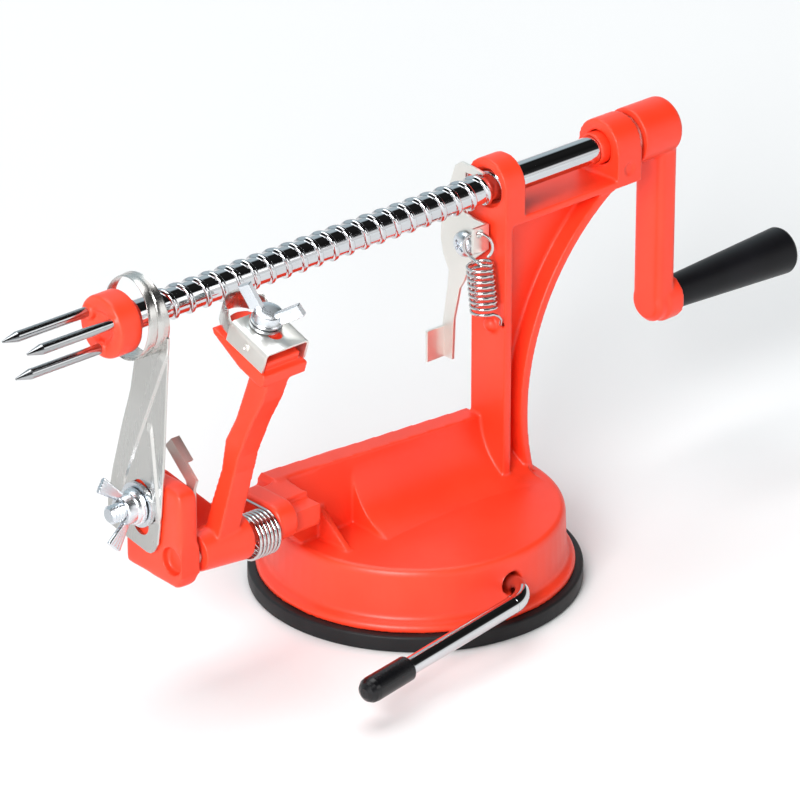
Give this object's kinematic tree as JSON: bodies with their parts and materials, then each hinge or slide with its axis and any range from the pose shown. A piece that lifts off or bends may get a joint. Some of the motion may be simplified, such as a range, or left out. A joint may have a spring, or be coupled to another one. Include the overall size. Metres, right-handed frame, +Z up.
{
  "type": "crank fruit peeler",
  "caption": "Hand-cranked fruit peeler, corer and slicer: feed screw with pronged fork, sprung peeling arm, slicer ring and crank on a lever-locked suction base.",
  "frame": {"origin": "centre of the suction pad's underside", "axes": "+X along the feed screw towards the crank, +Z up"},
  "size_m": [0.3123, 0.1185, 0.1346],
  "materials": {
    "red_plastic": "satin moulded plastic",
    "black_rubber": "matt moulded rubber",
    "black_vinyl": "soft dipped vinyl",
    "black_plastic": "fine-grained moulding",
    "chrome": "bright plating",
    "stainless": "satin stainless sheet",
    "spring_wire": "bright drawn wire"
  },
  "bodies": {
    "base": {"base_housing": "red_plastic", "suction_pad": "black_rubber", "corer_stud": "chrome", "arm_pivot_rod": "stainless", "latch_screw": "chrome", "latch_spring": "spring_wire", "arm_spring": "spring_wire"},
    "stem": {"pull_stem": "stainless"},
    "lever": {"suction_lever": "chrome", "lever_cap": "black_vinyl"},
    "carrier": {"thrust_washer": "stainless"},
    "screw": {"screw_shaft": "chrome", "screw_thread": "chrome", "fork_head": "red_plastic", "fork_prongs": "chrome", "crank_arm": "red_plastic", "grip_pin": "stainless"},
    "grip": {"grip": "black_plastic"},
    "arm": {"peel_arm": "red_plastic"},
    "blade": {"blade_bracket": "stainless", "peel_blade": "stainless"},
    "blade_washer": {"blade_washer": "chrome"},
    "wing_screw": {"blade_wing_screw": "chrome"},
    "latch": {"feed_latch": "stainless"},
    "catch": {"arm_catch": "stainless"},
    "slicer": {"slicer_plate": "stainless", "corer_ring": "stainless"},
    "nut_washer": {"corer_washer": "chrome"},
    "wing_nut": {"corer_wing_nut": "chrome"}
  },
  "joints": [
    {"name": "lever_turn", "type": "hinge", "parent": "base", "child": "lever", "pos_m": [-0.0023, 0, 0.0156], "axis": [0, 1, 0], "range_deg": [0, 100]},
    {"name": "stem_lift", "type": "slide", "parent": "base", "child": "stem", "axis": [0, 0, 1], "range_m": [0, 0.00307]},
    {"name": "screw_feed", "type": "slide", "parent": "base", "child": "carrier", "axis": [1, 0, 0], "range_m": [0, 0.1048]},
    {"name": "crank_turn", "type": "hinge", "parent": "carrier", "child": "screw", "pos_m": [0, 0, 0.122], "axis": [1, 0, 0], "range_deg": [0, 6120]},
    {"name": "grip_spin", "type": "hinge", "parent": "screw", "child": "grip", "pos_m": [0.13, 0, 0.0625], "axis": [1, 0, 0], "continuous": true},
    {"name": "arm_swing", "type": "hinge", "parent": "base", "child": "arm", "pos_m": [-0.084, -0.0105, 0.045], "axis": [1, 0, 0], "range_deg": [0, 45], "stiffness_Nm_per_rad": 0.3, "springref_deg": -20.05},
    {"name": "blade_set", "type": "slide", "parent": "arm", "child": "blade", "axis": [0, 0.9455, 0.3256], "range_m": [-0.002, 0]},
    {"name": "blade_washer_lift", "type": "slide", "parent": "arm", "child": "blade_washer", "axis": [0, -0.3256, 0.9455], "range_m": [0, 0.00241]},
    {"name": "wing_screw_turn", "type": "hinge", "parent": "blade_washer", "child": "wing_screw", "pos_m": [-0.0822, -0.02398, 0.11285], "axis": [0, -0.3256, 0.9455], "range_deg": [0, 1080]},
    {"name": "latch_lift", "type": "hinge", "parent": "base", "child": "latch", "pos_m": [0.02715, 0.0065, 0.102], "axis": [-1, 0, 0], "range_deg": [0, 12], "stiffness_Nm_per_rad": 0.2, "springref_deg": -11.46, "deforming": ["latch_spring"]},
    {"name": "catch_turn", "type": "hinge", "parent": "base", "child": "catch", "pos_m": [-0.098, -0.0105, 0.045], "axis": [-1, 0, 0], "range_deg": [0, 15]},
    {"name": "slicer_set", "type": "slide", "parent": "base", "child": "slicer", "axis": [0, 0, 1], "range_m": [-0.0012, 0.0012]},
    {"name": "nut_washer_out", "type": "slide", "parent": "base", "child": "nut_washer", "axis": [-1, 0, 0], "range_m": [0, 0.00501]},
    {"name": "wing_nut_turn", "type": "hinge", "parent": "nut_washer", "child": "wing_nut", "pos_m": [-0.112, 0.0018, 0.06], "axis": [-1, 0, 0], "range_deg": [0, 1800]}
  ],
  "couplings": [
    {"joint": "stem_lift", "follows": "lever_turn", "m_per_rad": 0.0017556},
    {"joint": "screw_feed", "follows": "crank_turn", "m_per_rad": 0.00098039},
    {"joint": "blade_washer_lift", "follows": "wing_screw_turn", "m_per_rad": 0.00012732},
    {"joint": "nut_washer_out", "follows": "wing_nut_turn", "m_per_rad": 0.00015915}
  ]
}
